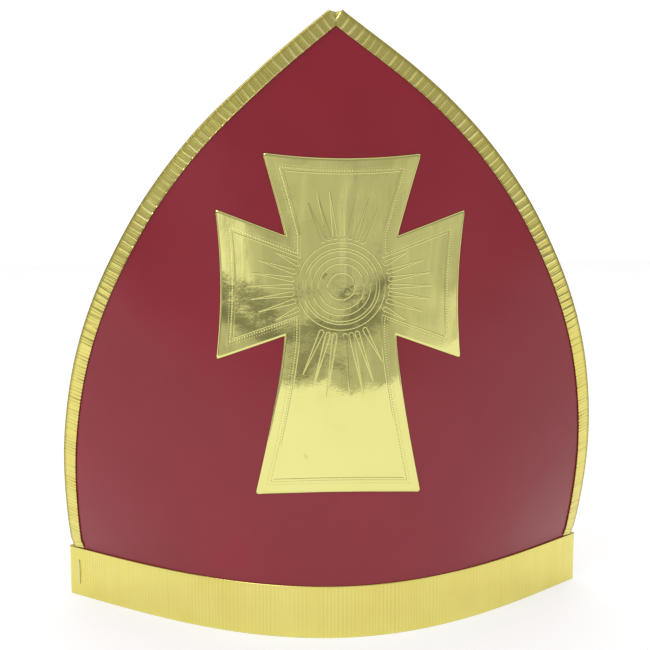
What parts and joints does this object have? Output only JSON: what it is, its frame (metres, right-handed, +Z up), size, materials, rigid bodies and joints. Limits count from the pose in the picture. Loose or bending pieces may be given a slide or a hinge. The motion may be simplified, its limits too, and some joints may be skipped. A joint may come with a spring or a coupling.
{
  "type": "bishop mitre",
  "caption": "Bishop's mitre of red card with two pointed bowed panels, crimped gold tape edges and rim, and an embossed gold cross on the front.",
  "frame": {"origin": "on the surface that the mitre stands on, under the middle of the rim", "axes": "+Z up to the peaks, -Y is the front with the cross, +X to the viewer's right across the front"},
  "size_m": [0.2528, 0.1469, 0.2761],
  "materials": {
    "red_card": "glossy red card, lightly scuffed",
    "gold_tape": "pale gold metallised paper tape, finely crimped",
    "gold_foil": "mirror-bright pale gold foil on card, embossed",
    "staple_wire": "flat staple wire"
  },
  "bodies": {
    "root": {"front_panel": "red_card", "back_panel": "red_card", "base_band": "gold_tape", "front_trim_left": "gold_tape", "front_trim_right": "gold_tape", "back_trim_left": "gold_tape", "back_trim_right": "gold_tape", "front_cross": "gold_foil", "band_staple": "staple_wire"}
  },
  "joints": []
}
